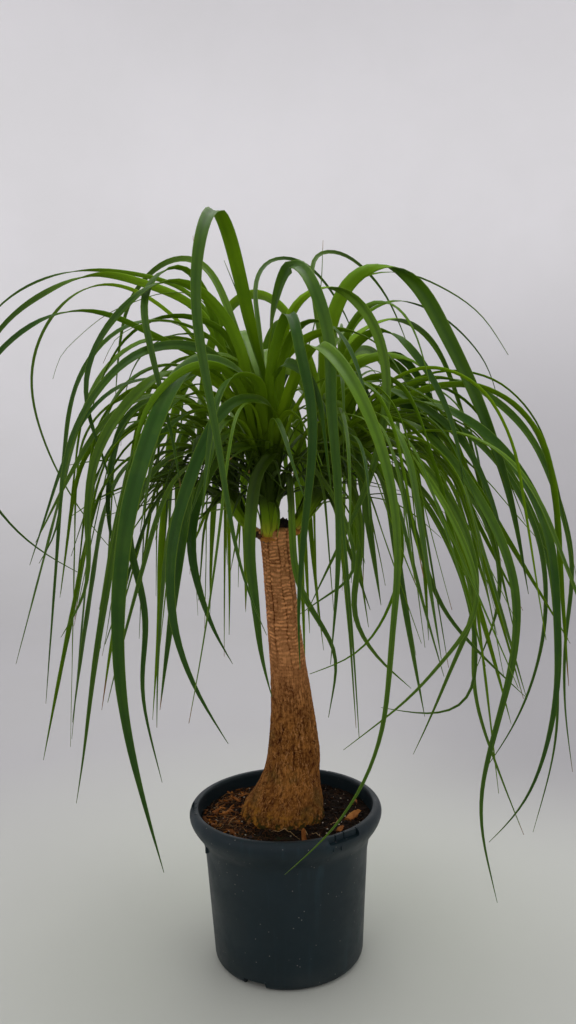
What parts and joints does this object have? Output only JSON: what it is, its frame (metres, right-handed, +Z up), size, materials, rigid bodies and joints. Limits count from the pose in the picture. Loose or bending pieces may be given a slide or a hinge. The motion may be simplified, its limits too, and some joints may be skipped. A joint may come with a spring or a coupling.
{
  "type": "potted ponytail palm",
  "caption": "Ponytail palm with a swollen corky trunk and fountains of long arching strap leaves, in a round plastic nursery pot filled with soil",
  "frame": {"origin": "centre of the pot's foot, on the surface that it stands on", "axes": "+Z up, -Y towards the front of the plant, +X to its right as seen from the front"},
  "size_m": [0.7435, 0.6536, 0.8433],
  "materials": {
    "pot_plastic": "satin moulded",
    "earth": "moist crumbly potting mix",
    "bark": "rough fissured bark",
    "leaf_green": "satin living leaf"
  },
  "bodies": {
    "root": {"pot": "pot_plastic", "soil": "earth", "trunk": "bark", "head_front": "leaf_green", "head_right": "leaf_green", "head_left": "leaf_green"}
  },
  "joints": []
}
